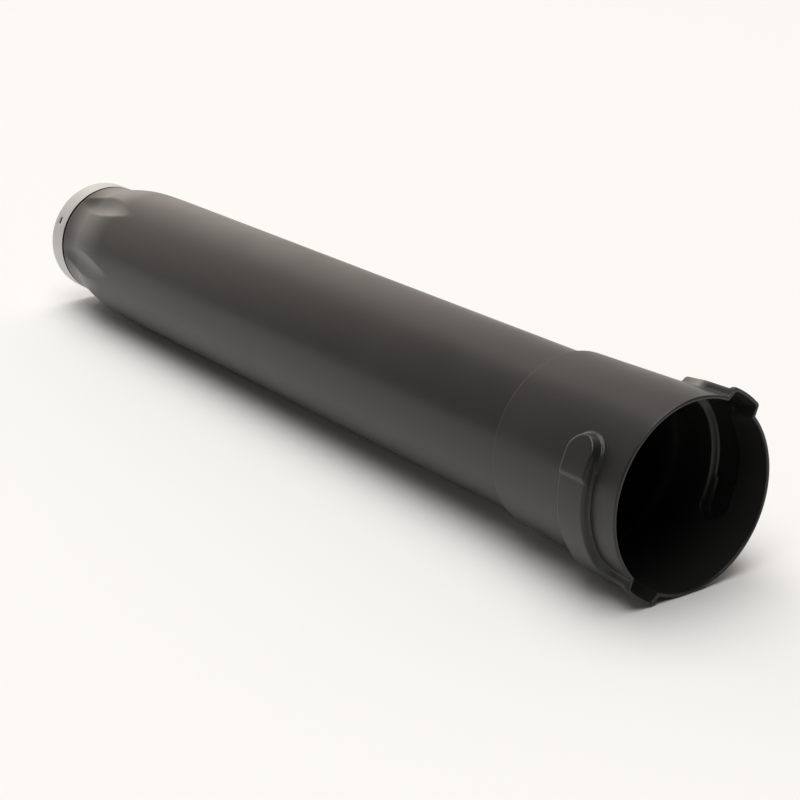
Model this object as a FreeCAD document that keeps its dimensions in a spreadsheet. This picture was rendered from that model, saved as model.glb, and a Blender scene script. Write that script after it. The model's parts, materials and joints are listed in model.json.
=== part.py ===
"""Leaf blower nozzle tube: a moulded tube with a bayonet socket and a metal wear ring at the outlet.

Lengths are in mm and angles in degrees. Every form is drawn in the tube's own frame: X runs along
the axis from the mouth of the socket to the outlet, and +Z points at the centre of one lug pocket.
An angle about the axis counts from +Z towards +Y. A station is a distance from the mouth along X.
The placement at the end lays the tube on the floor.
"""
import FreeCAD, Part
import math
import os
import Sketcher

V = FreeCAD.Vector

# A point this close to a surface counts as lying on it.
NEAR = 0.02

# Where an edge is sampled, as shares of its length.
EDGE_SAMPLES = (0.1, 0.5, 0.9)

# Rounds in which the place of the entrance's edge settles.
SETTLE_ROUNDS = 60

SIZES = [
    ("wall", 2.4, "thickness of the moulded wall"),
    ("mouth_wall", 1.5, "thickness of the wall between the mouth and the straight seat"),
    ("mouth_radius", 39.4, "outside of the socket at the mouth"),
    ("socket_length", 73.5, "mouth to the top of the shoulder"),
    ("socket_taper", 2.3, "radius lost over the socket's length"),
    ("shoulder_run", 4.5, "length of the sloped shoulder"),
    ("shoulder_drop", 2.1, "radius lost over the shoulder"),
    ("body_length", 322.0, "shoulder to the start of the neck"),
    ("body_taper", 1.5, "radius lost over the body"),
    ("neck_length", 46.2, "start of the neck to the end face of its collar"),
    ("neck_drop", 4.8, "radius lost over the neck"),
    ("neck_share", 0.63, "part of the neck that bends outward, the rest bends inward"),
    ("pilot_wall", 2.25, "wall over the inner end of the straight seat in the socket"),
    ("pilot_length", 22.0, "length of the straight seat, up to the stop ledge"),
    ("pilot_lead", 3.0, "length of the ramp into the straight seat"),
    ("ledge_back", 1.5, "stop ledge, from the top of the shoulder towards the mouth"),
    ("track_count", 2, "bayonet tracks around the socket"),
    ("track_station", 22.2, "mouth to the centre line of the track"),
    ("roof_rise", 4.3, "height of the entrance and the pocket over the socket"),
    ("band_rise", 3.2, "height of the track between them over the socket"),
    ("entrance_half", 8.9, "half width of the entrance at its foot"),
    ("band_half", 8.2, "half width of the track at its foot"),
    ("track_draft", 14.0, "slope of the track's side walls"),
    ("track_wall", 1.5, "wall of the track"),
    ("track_round", 0.8, "rounding of the entrance and pocket roofs"),
    ("lug_turn", 81.5, "turn from the entrance to the pocket"),
    ("corner_start", 15.8, "mouth to the start of the entrance's slanted outer corner"),
    ("corner_short", 0.8, "end of the slanted corner, from the track's edge towards the mouth"),
    ("pocket_reach", 9.7, "pocket centre to its step, at the foot"),
    ("flute_count", 6, "scallops around the neck"),
    ("flute_radius", 14.0, "hollow of a scallop across the axis"),
    ("flute_depth", 2.0, "depth of a scallop at its round end"),
    ("flute_fade", 0.15, "bottom of a scallop over the collar, at the collar's end"),
    ("flute_reach", 1.4, "length of the bar that cuts a scallop, as a share of the neck's length"),
    ("ring_inset", 0.1, "outside of the collar to the outside of the wear ring"),
    ("ring_sheet", 0.8, "sheet thickness of the wear ring"),
    ("ring_gap", 1.4, "open gap between the collar and the wear ring"),
    ("ring_length", 11.8, "length of the wear ring"),
    ("ring_bend", 1.2, "outside bend radius at the ring's outlet end"),
    ("lip_step", 0.3, "inside of the outlet to the inner edge of the ring's lip"),
    ("spigot_clear", 0.05, "radial clearance of the ring on the spigot"),
    ("spigot_wall", 2.2, "wall of the spigot"),
    ("nub_count", 2, "snap nubs around the spigot"),
    ("window_back", 6.2, "inner end of the ring to the centre of its windows"),
    ("window_length", 3.6, "window across the axis"),
    ("window_width", 1.9, "window along the axis"),
    ("nub_clear", 0.15, "clearance of a nub in its window and below the ring's outside"),
    ("rim_round", 0.6, "rounding of the mouth's outer edge"),
    ("edge_float", 0.4, "floor to the nearest edge of an entrance, as the tube lies"),
    ("overrun", 2.0, "length by which a cutting form passes the face it cuts"),
]

doc = FreeCAD.newDocument("nozzle")
sheet = doc.addObject("Spreadsheet::Sheet", "sizes")
NAMES = set()
for row, (alias, amount, note) in enumerate(SIZES, start=1):
    sheet.set("A%d" % row, alias)
    sheet.set("B%d" % row, str(amount))
    sheet.set("C%d" % row, note)
    sheet.setAlias("B%d" % row, alias)
    NAMES.add(alias)
doc.recompute()

# Radii outside the wall, from the mouth to the wear ring.
SOCKET_END = "(mouth_radius - socket_taper)"
BODY_START = "(%s - shoulder_drop)" % SOCKET_END
BODY_END = "(%s - body_taper)" % BODY_START
COLLAR = "(%s - neck_drop)" % BODY_END
RING = "(%s - ring_inset)" % COLLAR
SPIGOT = "(%s - ring_sheet - spigot_clear)" % RING
OUTLET = "(%s - spigot_wall)" % SPIGOT
PILOT = "(%s - pilot_wall)" % SOCKET_END

# Stations along the axis.
SHOULDER_AT = "(socket_length + shoulder_run)"
NECK_AT = "(%s + body_length)" % SHOULDER_AT
COLLAR_AT = "(%s + neck_length)" % NECK_AT
RING_AT = "(%s + ring_gap)" % COLLAR_AT
OUTLET_AT = "(%s + ring_length)" % RING_AT
SPIGOT_AT = "(%s - ring_sheet)" % OUTLET_AT
LEDGE_AT = "(socket_length - ledge_back)"
PILOT_AT = "(%s - pilot_length)" % LEDGE_AT

# Slope of the socket's outside, and its radius over the track's centre line.
TAPER = "(socket_taper / socket_length)"
AT_TRACK = "(mouth_radius - %s * track_station)" % TAPER

# The raised forms start this far below the socket's outside, where their drafted walls stand further out.
BELOW = "(2 * wall)"
FLARE = "(%s * tan(track_draft))" % BELOW


def size(text):
    """Writes each size name in a formula as a reference to the sheet."""
    out = []
    word = ""
    for letter in text + " ":
        if letter.isalnum() or letter == "_":
            word += letter
            continue
        out.append("sizes." + word if word in NAMES else word)
        word = ""
        out.append(letter)
    return "".join(out).strip()


def number(text):
    """Works out a formula of the sizes as a plain number."""
    result = sheet.evalExpression(size(text))
    return float(getattr(result, "Value", result))


def origin_item(body, role):
    """Finds a plane or an axis of a body's origin."""
    return [item for item in body.Origin.OriginFeatures if item.Role == role][0]


def new_sketch(body, name, plane, shift, axis, angle):
    """Starts a sketch on a plane of the body's origin, turned about one axis and then shifted."""
    sketch = body.newObject("Sketcher::SketchObject", name)
    sketch.AttachmentSupport = [(origin_item(body, plane), "")]
    sketch.MapMode = "FlatFace"
    sketch.AttachmentOffset = FreeCAD.Placement(V(0, 0, 0), FreeCAD.Rotation(axis, number(angle)))
    if angle != "0":
        sketch.setExpression("AttachmentOffset.Rotation.Angle", size(angle))
    for letter, formula in zip("xyz", shift):
        if formula != "0":
            sketch.setExpression("AttachmentOffset.Base." + letter, size(formula))
    doc.recompute()
    return sketch


def bind(sketch, kind, where, formula, label):
    """Adds a dimension to a sketch and binds it to a formula of the sizes."""
    index = sketch.addConstraint(Sketcher.Constraint(kind, *where, number(formula)))
    sketch.renameConstraint(index, label)
    sketch.setExpression("Constraints." + label, size(formula))


def pin_point(sketch, geo, pos, x, y, label):
    """Places one point of a sketch; the formula "0" puts it on an axis of the sketch."""
    if x == "0":
        sketch.addConstraint(Sketcher.Constraint("PointOnObject", geo, pos, -2))
    else:
        bind(sketch, "DistanceX", (-1, 1, geo, pos), x, label + "_along")
    if y == "0":
        sketch.addConstraint(Sketcher.Constraint("PointOnObject", geo, pos, -1))
    else:
        bind(sketch, "DistanceY", (-1, 1, geo, pos), y, label + "_out")


def outline(sketch, points, curves=None):
    """Draws a closed outline through placed points.

    Each point is a pair of formulas, along and out. A curve under a point's index makes the way to the
    next point an arc about a centre: (centre along, centre out, turns left, fixed coordinate).
    """
    curves = curves or {}
    places = [V(number(x), number(y), 0) for x, y in points]
    ids = []
    for i, a in enumerate(places):
        b = places[(i + 1) % len(places)]
        if i not in curves:
            ids.append((sketch.addGeometry(Part.LineSegment(a, b)), 1, 2))
            continue
        centre = V(number(curves[i][0]), number(curves[i][1]), 0)
        start, end = (a, b) if curves[i][2] else (b, a)
        first = math.atan2(start.y - centre.y, start.x - centre.x)
        last = math.atan2(end.y - centre.y, end.x - centre.x)
        circle = Part.Circle(centre, V(0, 0, 1), (start - centre).Length)
        geo = sketch.addGeometry(Part.ArcOfCircle(circle, first, last))
        ids.append((geo, 1, 2) if curves[i][2] else (geo, 2, 1))
    for i, (geo, _, end) in enumerate(ids):
        following, begin, _ = ids[(i + 1) % len(ids)]
        sketch.addConstraint(Sketcher.Constraint("Coincident", geo, end, following, begin))
    for i, (x, y) in enumerate(points):
        pin_point(sketch, ids[i][0], ids[i][1], x, y, "p%d" % i)
    for i, (along, out, _, fixed) in curves.items():
        if fixed == "along":
            bind(sketch, "DistanceX", (-1, 1, ids[i][0], 3), along, "c%d_along" % i)
        else:
            bind(sketch, "DistanceY", (-1, 1, ids[i][0], 3), out, "c%d_out" % i)
    doc.recompute()


def turned(body, name, kind, sketch, axis="H_Axis", angle="360"):
    """Revolves a sketch about one of its axes, to add or to cut."""
    feature = body.newObject(kind, name)
    feature.Profile = sketch
    feature.ReferenceAxis = (sketch, [axis])
    feature.Angle = number(angle)
    if angle != "360":
        feature.setExpression("Angle", size(angle))
    doc.recompute()
    return feature


def around(body, name, features, count):
    """Repeats features evenly about the tube's axis."""
    pattern = body.newObject("PartDesign::PolarPattern", name)
    pattern.Originals = features
    pattern.Axis = (origin_item(body, "X_Axis"), [""])
    pattern.Angle = 360
    pattern.setExpression("Occurrences", size(count))
    body.Tip = pattern
    doc.recompute()
    return pattern


def neck_way(first_out, last_out, lead, index):
    """Two arcs, tangent to each other and level at both ends, that narrow the neck.

    Returns the point where they meet and the curves for the outline's points index and index + 1.
    """
    drop = "(%s - %s)" % (first_out, last_out)
    both = "((neck_length * neck_length + %s * %s) / (2 * %s))" % (drop, drop, drop)
    meet = ("%s + neck_share * neck_length + %s" % (NECK_AT, lead),
            "%s - neck_share * %s" % (first_out, drop))
    outward = ("%s + %s" % (NECK_AT, lead), "%s - neck_share * %s" % (first_out, both), False, "along")
    inward = ("%s + %s" % (COLLAR_AT, lead), "%s + (1 - neck_share) * %s" % (last_out, both), True, "along")
    return meet, {index: outward, index + 1: inward}


def outer_section(body):
    """The moulding's outside as a solid of revolution, with the spigot at its end."""
    sketch = new_sketch(body, "outer_section", "XZ_Plane", ("0", "0", "0"), V(1, 0, 0), "0")
    meet, curves = neck_way(BODY_END, COLLAR, "0", 5)
    curves[1] = ("rim_round", "mouth_radius - rim_round", False, "along")
    points = [("0", "0"), ("0", "mouth_radius - rim_round"), ("rim_round", "mouth_radius"),
              ("socket_length", SOCKET_END), (SHOULDER_AT, BODY_START), (NECK_AT, BODY_END), meet,
              (COLLAR_AT, COLLAR), (COLLAR_AT, SPIGOT), (SPIGOT_AT, SPIGOT), (SPIGOT_AT, "0")]
    outline(sketch, points, curves)
    return turned(body, "outer_turn", "PartDesign::Revolution", sketch)


def core_section(body):
    """The moulding's hollow as a solid of revolution that passes both ends."""
    sketch = new_sketch(body, "core_section", "XZ_Plane", ("-overrun", "0", "0"), V(1, 0, 0), "0")
    first = "(%s - wall)" % BODY_END
    meet, curves = neck_way(first, OUTLET, "overrun", 7)
    mouth = "(mouth_radius - mouth_wall)"
    ramp_at = "(%s - pilot_lead)" % PILOT_AT
    points = [("0", "0"), ("0", "%s + %s * overrun" % (mouth, TAPER)),
              ("%s + overrun" % ramp_at, "%s - %s * %s" % (mouth, TAPER, ramp_at)),
              ("%s + overrun" % PILOT_AT, PILOT), ("%s + overrun" % LEDGE_AT, PILOT),
              ("%s + overrun" % LEDGE_AT, "%s - wall" % BODY_START),
              ("%s + overrun" % SHOULDER_AT, "%s - wall" % BODY_START),
              ("%s + overrun" % NECK_AT, first), meet, ("%s + overrun" % COLLAR_AT, OUTLET),
              ("%s + 2 * overrun" % SPIGOT_AT, OUTLET), ("%s + 2 * overrun" % SPIGOT_AT, "0")]
    outline(sketch, points, curves)
    return turned(body, "core_turn", "PartDesign::Revolution", sketch)


def raised_plan(body, name, axis, angle, direction):
    """Starts the plan of a block that stands radially out of the socket, below the socket's surface."""
    depth = "(%s - %s)" % (AT_TRACK, BELOW)
    shift = ("track_station", "%s * sin(%s)" % (depth, direction), "%s * cos(%s)" % (depth, direction))
    return new_sketch(body, name + "_plan", "XY_Plane", shift, axis, angle)


def raised(body, name, sketch):
    """Raises a plan to a drafted block, higher than the roof."""
    pad = body.newObject("PartDesign::Pad", name)
    pad.Profile = sketch
    pad.setExpression("Length", size("%s + roof_rise + 2 * overrun" % BELOW))
    pad.setExpression("TaperAngle", size("-track_draft"))
    doc.recompute()
    return pad


def entrance_block(body, name, side):
    """The entrance: a block from the mouth to the track whose outer corner is cut on a slant.

    side is the inset of its walls. The corner that lies within the track needs no place of its own.
    """
    sketch = raised_plan(body, name, V(1, 0, 0), "-lug_turn", "lug_turn")
    half = "(entrance_half - %s + %s)" % (side, FLARE)
    back = "(-(track_station + 2 * overrun))"
    tip = "(band_half - corner_short - %s + %s)" % (side, FLARE)
    turn = "(corner_start - track_station - %s + %s)" % (side, FLARE)
    outline(sketch, [(back, "-" + half), (turn, "-" + half), (tip, "0"), ("0", half), (back, half)])
    return raised(body, name, sketch)


def pocket_block(body, name, side):
    """The lug pocket: a block across the track with one round end. side is the inset of its walls."""
    sketch = raised_plan(body, name, V(0, 0, 1), "-90", "0")
    wide = "band_half - %s + %s" % (side, FLARE)
    back = "pocket_reach - %s + %s" % (side, FLARE)
    h, b = number(wide), number(back)
    circle = Part.Circle(V(0, 0, 0), V(0, 0, 1), h)
    bow = sketch.addGeometry(Part.ArcOfCircle(circle, -math.pi / 2, math.pi / 2))
    top = sketch.addGeometry(Part.LineSegment(V(0, h, 0), V(-b, h, 0)))
    end = sketch.addGeometry(Part.LineSegment(V(-b, h, 0), V(-b, -h, 0)))
    low = sketch.addGeometry(Part.LineSegment(V(-b, -h, 0), V(0, -h, 0)))
    for a, start, c, stop in ((bow, 2, top, 1), (top, 2, end, 1), (end, 2, low, 1), (low, 2, bow, 1)):
        sketch.addConstraint(Sketcher.Constraint("Coincident", a, start, c, stop))
    sketch.addConstraint(Sketcher.Constraint("Coincident", bow, 3, -1, 1))
    sketch.addConstraint(Sketcher.Constraint("PointOnObject", bow, 1, -2))
    sketch.addConstraint(Sketcher.Constraint("PointOnObject", bow, 2, -2))
    sketch.addConstraint(Sketcher.Constraint("Horizontal", top))
    sketch.addConstraint(Sketcher.Constraint("Horizontal", low))
    sketch.addConstraint(Sketcher.Constraint("Vertical", end))
    bind(sketch, "Radius", (bow,), wide, "half_width")
    bind(sketch, "DistanceX", (end, 1, -1, 1), back, "reach")
    doc.recompute()
    return raised(body, name, sketch)


def add_tracks(body, prefix, inset, mouth_face):
    """The L-shaped bayonet tracks, set in by a wall thickness for the core.

    mouth_face also cuts the form off at the mouth.
    """
    side = "(%s / cos(track_draft))" % inset
    entrance = entrance_block(body, prefix + "_entrance", side)
    pocket = pocket_block(body, prefix + "_pocket", side)
    around(body, prefix + "_blocks", [entrance, pocket], "track_count")

    # All that stands higher than a roof parallel to the socket's outside is turned away.
    roof = new_sketch(body, prefix + "_roof_section", "XZ_Plane", ("-4 * overrun", "0", "0"), V(1, 0, 0),
                      "-lug_turn / 2")
    high = "(mouth_radius + roof_rise - %s)" % inset
    far = "(track_station + entrance_half + 8 * overrun)"
    rim = [("0", "%s + %s * 4 * overrun" % (high, TAPER))]
    if mouth_face:
        rim = [("4 * overrun", high), ("4 * overrun", "0"), ("0", "0")]
    outline(roof, rim + [("0", "2 * mouth_radius"), (far, "2 * mouth_radius"),
                         (far, "%s - %s * (%s - 4 * overrun)" % (high, TAPER, far))])
    turned(body, prefix + "_roof", "PartDesign::Groove", roof)

    band = new_sketch(body, prefix + "_band_section", "XZ_Plane", ("0", "0", "0"), V(1, 0, 0), "-lug_turn")
    rise = "(band_rise - %s)" % inset
    foot = "(band_half - %s + %s)" % (side, FLARE)
    edge = "(band_half - %s - %s * tan(track_draft))" % (side, rise)
    outline(band, [("track_station - %s" % foot, "%s - %s" % (AT_TRACK, BELOW)),
                   ("track_station - %s" % edge, "%s + %s + %s * %s" % (AT_TRACK, rise, TAPER, edge)),
                   ("track_station + %s" % edge, "%s + %s - %s * %s" % (AT_TRACK, rise, TAPER, edge)),
                   ("track_station + %s" % foot, "%s - %s" % (AT_TRACK, BELOW))])
    sweep = turned(body, prefix + "_band", "PartDesign::Revolution", band, "H_Axis", "lug_turn")
    return around(body, prefix + "_bands", [sweep], "track_count")


def add_flutes(body, prefix, inset):
    """The scallops: ball-ended hollows whose bottoms run straight down to the collar."""
    sketch = new_sketch(body, prefix + "_flute_section", "XZ_Plane", ("0", "0", "0"), V(1, 0, 0),
                        "-180 / flute_count")
    fall = "atan((neck_drop - flute_depth - flute_fade) / neck_length)"
    r = "(flute_radius + %s)" % inset
    reach = "(flute_reach * neck_length)"
    middle = "(%s - flute_depth + flute_radius)" % BODY_END
    tip = ("%s - %s * cos(%s)" % (NECK_AT, r, fall), "%s + %s * sin(%s)" % (middle, r, fall))
    near = ("%s - %s * sin(%s)" % (NECK_AT, r, fall), "%s - %s * cos(%s)" % (middle, r, fall))
    end_x = "%s + %s * cos(%s)" % (NECK_AT, reach, fall)
    end_y = "%s - %s * sin(%s)" % (middle, reach, fall)
    far = ("%s - %s * sin(%s)" % (end_x, r, fall), "%s - %s * cos(%s)" % (end_y, r, fall))
    outline(sketch, [tip, near, far, (end_x, end_y)], {0: (NECK_AT, middle, True, "along")})
    axis = sketch.addGeometry(Part.LineSegment(V(number(tip[0]), number(tip[1]), 0),
                                               V(number(end_x), number(end_y), 0)), True)
    sketch.addConstraint(Sketcher.Constraint("Coincident", axis, 1, 0, 1))
    sketch.addConstraint(Sketcher.Constraint("Coincident", axis, 2, 3, 1))
    doc.recompute()
    flute = turned(body, prefix + "_flute", "PartDesign::Groove", sketch, "Axis0")
    around(body, prefix + "_flutes", [flute], "flute_count")


def rectangle_on_top(body, name, length, width, level):
    """A plan rectangle over the axis, centred on the ring's windows."""
    shift = ("%s + window_back" % RING_AT, "0", level)
    sketch = new_sketch(body, name, "XY_Plane", shift, V(0, 0, 1), "0")
    a, b = number(width) / 2, number(length) / 2
    corners = [V(-a, -b, 0), V(a, -b, 0), V(a, b, 0), V(-a, b, 0)]
    ids = [sketch.addGeometry(Part.LineSegment(corners[i], corners[(i + 1) % 4])) for i in range(4)]
    for i in range(4):
        sketch.addConstraint(Sketcher.Constraint("Coincident", ids[i], 2, ids[(i + 1) % 4], 1))
        sketch.addConstraint(Sketcher.Constraint("Horizontal" if i % 2 == 0 else "Vertical", ids[i]))
    sketch.addConstraint(Sketcher.Constraint("Symmetric", ids[0], 1, ids[2], 1, -1, 1))
    bind(sketch, "DistanceX", (ids[0], 1, ids[0], 2), width, "width")
    bind(sketch, "DistanceY", (ids[1], 1, ids[1], 2), length, "length")
    doc.recompute()
    return sketch


def rounded(body, name, base, edges, formula):
    """Rounds edges of a feature."""
    fillet = body.newObject("PartDesign::Fillet", name)
    fillet.Base = (base, edges)
    fillet.setExpression("Radius", size(formula))
    body.Tip = fillet
    doc.recompute()
    return fillet


def edge_names(shape, wanted):
    """Names the edges whose sample points all satisfy a test."""
    names = []
    for i, edge in enumerate(shape.Edges, start=1):
        span = edge.LastParameter - edge.FirstParameter
        samples = [edge.valueAt(edge.FirstParameter + span * part) for part in EDGE_SAMPLES]
        if all(wanted(point) for point in samples):
            names.append("Edge%d" % i)
    return names


# Outside of the moulding.
outer = doc.addObject("PartDesign::Body", "outer_form")
outer_section(outer)
tracks = add_tracks(outer, "outer", "0", True)
ROOF_0 = number("mouth_radius + roof_rise")
SLOPE = number(TAPER)
on_roof = edge_names(tracks.Shape,
                     lambda p: abs(math.hypot(p.y, p.z) - ROOF_0 + SLOPE * p.x) < NEAR and p.x > NEAR)
rounded(outer, "roof_rounds", tracks, on_roof, "track_round")
add_flutes(outer, "outer", "0")
nub_plan = rectangle_on_top(outer, "nub_plan", "window_length - 2 * nub_clear",
                            "window_width - 2 * nub_clear", "%s - spigot_wall / 2" % SPIGOT)
nub = outer.newObject("PartDesign::Pad", "nub")
nub.Profile = nub_plan
nub.setExpression("Length", size("%s - nub_clear - %s + spigot_wall / 2" % (RING, SPIGOT)))
doc.recompute()
around(outer, "nubs", [nub], "nub_count")

# Hollow of the moulding.
core = doc.addObject("PartDesign::Body", "core_form")
core_section(core)
add_tracks(core, "core", "track_wall", False)
add_flutes(core, "core", "wall")

tube = doc.addObject("Part::Cut", "nozzle_tube")
tube.Base = outer
tube.Tool = core
doc.recompute()

# Wear ring: a pressed ring with an inward lip over the end of the spigot. Its section is drawn a quarter
# turn away from the windows.
ring = doc.addObject("PartDesign::Body", "wear_ring")
ring_plan = new_sketch(ring, "ring_section", "XZ_Plane", ("0", "0", "0"), V(1, 0, 0), "-90")
inside = "(%s - ring_sheet)" % RING
lip = "(%s + lip_step)" % OUTLET
outline(ring_plan, [(RING_AT, inside), (RING_AT, RING), ("%s - ring_bend" % OUTLET_AT, RING),
                    (OUTLET_AT, "%s - ring_bend" % RING), (OUTLET_AT, lip), (SPIGOT_AT, lip),
                    (SPIGOT_AT, inside)],
        {2: ("%s - ring_bend" % OUTLET_AT, "%s - ring_bend" % RING, False, "along")})
turned(ring, "ring_turn", "PartDesign::Revolution", ring_plan)
window_plan = rectangle_on_top(ring, "window_plan", "window_length", "window_width",
                               "%s - ring_sheet" % SPIGOT)
window = ring.newObject("PartDesign::Pocket", "window")
window.Profile = window_plan
window.Reversed = True
window.setExpression("Length", size("4 * ring_sheet"))
doc.recompute()
around(ring, "windows", [window], "nub_count")

# Rest on the floor: the mouth's rounded rim and the start of the neck carry the tube, so its axis falls
# towards the outlet. fall solves for the line tangent to the circles of the rim and of the neck's bend.
rim_x, rim_y, rim_r = number("rim_round"), number("mouth_radius - rim_round"), number("rim_round")
bend_r = number("neck_share * (neck_length * neck_length + neck_drop * neck_drop) / (2 * neck_drop)")
run_x = number(NECK_AT) - rim_x
run_y = number(BODY_END) - bend_r - rim_y
fall = math.asin((rim_r - bend_r) / math.hypot(run_x, run_y)) - math.atan2(run_y, run_x)
height = rim_x * math.sin(fall) + rim_y * math.cos(fall) + rim_r

# The tube has rolled until the far edge of one entrance is just off the floor. The edge's rounding is a
# circle that touches the entrance's side wall and its roof; across and up place its centre from the axis.
soft = number("track_round")
reach = number("mouth_radius + roof_rise") - soft
slope = math.tan(math.radians(number("track_draft")))
across = number("entrance_half")
for _ in range(SETTLE_ROUNDS):
    up = math.sqrt(reach * reach - across * across)
    across = number("entrance_half") + (number(AT_TRACK) - up) * slope - soft * math.hypot(1.0, slope)
edge_turn = number("lug_turn") + math.degrees(math.atan2(across, up))
edge_up = (height - number("edge_float")) / math.cos(fall) - soft
roll = 180.0 - math.degrees(math.acos(edge_up / reach)) - edge_turn

lie = FreeCAD.Rotation(V(0, 1, 0), -math.degrees(fall)) * FreeCAD.Rotation(V(0, 0, 1), 180.0)
lie = lie * FreeCAD.Rotation(V(1, 0, 0), -roll)
spans = []
for piece in (tube, ring):
    turned_copy = piece.Shape.copy()
    turned_copy.Placement = FreeCAD.Placement(V(0, 0, 0), lie)
    spans.append(turned_copy.optimalBoundingBox(True, False))
middle_x = (min(box.XMin for box in spans) + max(box.XMax for box in spans)) / 2.0
for piece in (tube, ring):
    piece.Placement = FreeCAD.Placement(V(-middle_x, 0, height), lie)
doc.recompute()

for item in doc.Objects:
    if "Invalid" in item.State or "Error" in item.State:
        raise RuntimeError("not rebuilt: " + item.Name)
os.makedirs("parts", exist_ok=True)
for piece in (tube, ring):
    piece.Label = piece.Name
    if piece.Shape.isNull() or not piece.Shape.isValid() or len(piece.Shape.Solids) != 1:
        raise RuntimeError("not one sound solid: " + piece.Label)
    piece.Shape.exportStep("parts/" + piece.Label + ".step")
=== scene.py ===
"""Looks of the leaf blower nozzle tube: the moulded tube, its wear ring and a plain studio.

Sizes are in millimetres in the tube's own frame: a station runs along the axis from the mouth of the
socket to the outlet, and an angle about the axis counts in degrees from the centre of one lug pocket.
Meshes are placed in the row frame, in metres.
"""
import json
import logging
import math
from dataclasses import dataclass
from enum import Enum

import bmesh
import bpy
import numpy as np
from mathutils import Matrix, Vector


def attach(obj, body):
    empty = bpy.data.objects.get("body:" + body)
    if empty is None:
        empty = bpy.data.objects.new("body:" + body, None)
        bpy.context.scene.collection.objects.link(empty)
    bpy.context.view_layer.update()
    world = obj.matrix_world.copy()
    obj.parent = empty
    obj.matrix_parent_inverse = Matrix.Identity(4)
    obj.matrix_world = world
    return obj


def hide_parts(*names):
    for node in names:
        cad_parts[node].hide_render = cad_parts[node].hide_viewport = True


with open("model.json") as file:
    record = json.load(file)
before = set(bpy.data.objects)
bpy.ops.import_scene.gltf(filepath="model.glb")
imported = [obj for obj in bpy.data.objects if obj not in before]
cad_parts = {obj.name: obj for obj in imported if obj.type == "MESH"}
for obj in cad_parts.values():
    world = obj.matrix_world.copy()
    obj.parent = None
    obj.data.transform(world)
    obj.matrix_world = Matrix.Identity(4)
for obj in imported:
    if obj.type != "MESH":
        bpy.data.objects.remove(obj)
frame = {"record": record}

log = logging.getLogger("nozzle")

MM = 0.001
BODY = "root"
FULL_TURN = 360.0
QUARTER_TURN = 90.0
# Point attribute on the ring's near edge, where the shadow of the gap at the collar is painted as near
# black shade.
PAINTED_GAP_SHADE_MASK = "painted_gap_shade_edge"

Band = tuple[np.ndarray, np.ndarray, np.ndarray]


class Side(Enum):
    """The two faces of the moulded wall."""

    OUTER = "outer"
    INNER = "inner"


def soft_min(a: np.ndarray, b: np.ndarray, reach: float) -> np.ndarray:
    """Takes the lower of two heights and rounds the crossing between them.

    Where the two differ by less than reach, reach / 4 times the square of (1 - difference / reach) is
    taken off the lower one, which joins them with a parabola.

    Args:
        a: first heights.
        b: second heights.
        reach: difference up to which the crossing is rounded.

    Returns:
        The rounded lower heights.
    """
    near = np.clip(1.0 - np.abs(a - b) / reach, 0.0, 1.0)
    return np.minimum(a, b) - 0.25 * reach * near * near


def soft_max(a: np.ndarray, b: np.ndarray, reach: float) -> np.ndarray:
    """Takes the higher of two heights and rounds the crossing between them, as soft_min does."""
    return -soft_min(-a, -b, reach)


def ease(x: np.ndarray) -> np.ndarray:
    """Eases from 0 to 1 as x goes from 0 to 1, with level ends: 3x^2 - 2x^3."""
    x = np.clip(x, 0.0, 1.0)
    return x * x * (3.0 - 2.0 * x)


def spread(start: float, *stops: tuple[float, float]) -> np.ndarray:
    """Lines up values along joined spans, each with its own largest step.

    Args:
        start: the first value.
        stops: end and largest step of each span; each span starts where the last one ended.

    Returns:
        The values in order, with the last end included.
    """
    runs = []
    for end, step in stops:
        count = max(1, math.ceil(abs(end - start) / step))
        runs.append(np.linspace(start, end, count, endpoint=False))
        start = end
    return np.concatenate(runs + [np.array([start])])


def grid_faces(index: np.ndarray) -> np.ndarray:
    """Joins each ring of a grid of vertex numbers to the next one with four-sided faces, closed around.

    Args:
        index: vertex numbers, one row for each ring.

    Returns:
        Faces of four vertex numbers.
    """
    after = np.roll(index, -1, axis=1)
    return np.stack([index[:-1], after[:-1], after[1:], index[1:]], axis=-1).reshape(-1, 4)


def ring_to_ring(first: np.ndarray, first_at: np.ndarray,
                 second: np.ndarray, second_at: np.ndarray) -> np.ndarray:
    """Joins two rings with different numbers of vertices by triangles.

    Each edge of a ring takes as its tip the vertex of the other ring that has come up when both rings
    are walked by the angle of their edges' middles.

    Args:
        first: vertex numbers of the first ring.
        first_at: their rising angles, in degrees.
        second: vertex numbers of the second ring.
        second_at: their rising angles, in degrees.

    Returns:
        Faces of three vertex numbers.
    """
    first_mid = first_at + 0.5 * np.diff(first_at, append=first_at[0] + FULL_TURN)
    second_mid = second_at + 0.5 * np.diff(second_at, append=second_at[0] + FULL_TURN)
    tip_of_first = second[np.searchsorted(second_mid, first_mid) % len(second)]
    tip_of_second = first[np.searchsorted(first_mid, second_mid, side="right") % len(first)]
    return np.concatenate([
        np.stack([first, np.roll(first, -1), tip_of_first], axis=-1),
        np.stack([np.roll(second, -1), second, tip_of_second], axis=-1),
    ])


def put_mesh(name: str, points: np.ndarray, faces: list[np.ndarray]) -> bpy.types.Object:
    """Makes a smooth-shaded object from whole arrays.

    Args:
        name: name of the piece.
        points: vertices in the row frame, in metres.
        faces: arrays of vertex numbers, one array for each number of corners.

    Returns:
        The object, at the origin.
    """
    mesh = bpy.data.meshes.new(name)
    corners = [corner for group in faces for corner in group.tolist()]
    mesh.from_pydata(points.reshape(-1, 3).tolist(), [], corners)
    mesh.validate()
    mesh.shade_smooth()
    piece = bpy.data.objects.new(name, mesh)
    bpy.context.scene.collection.objects.link(piece)
    return piece


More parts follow.
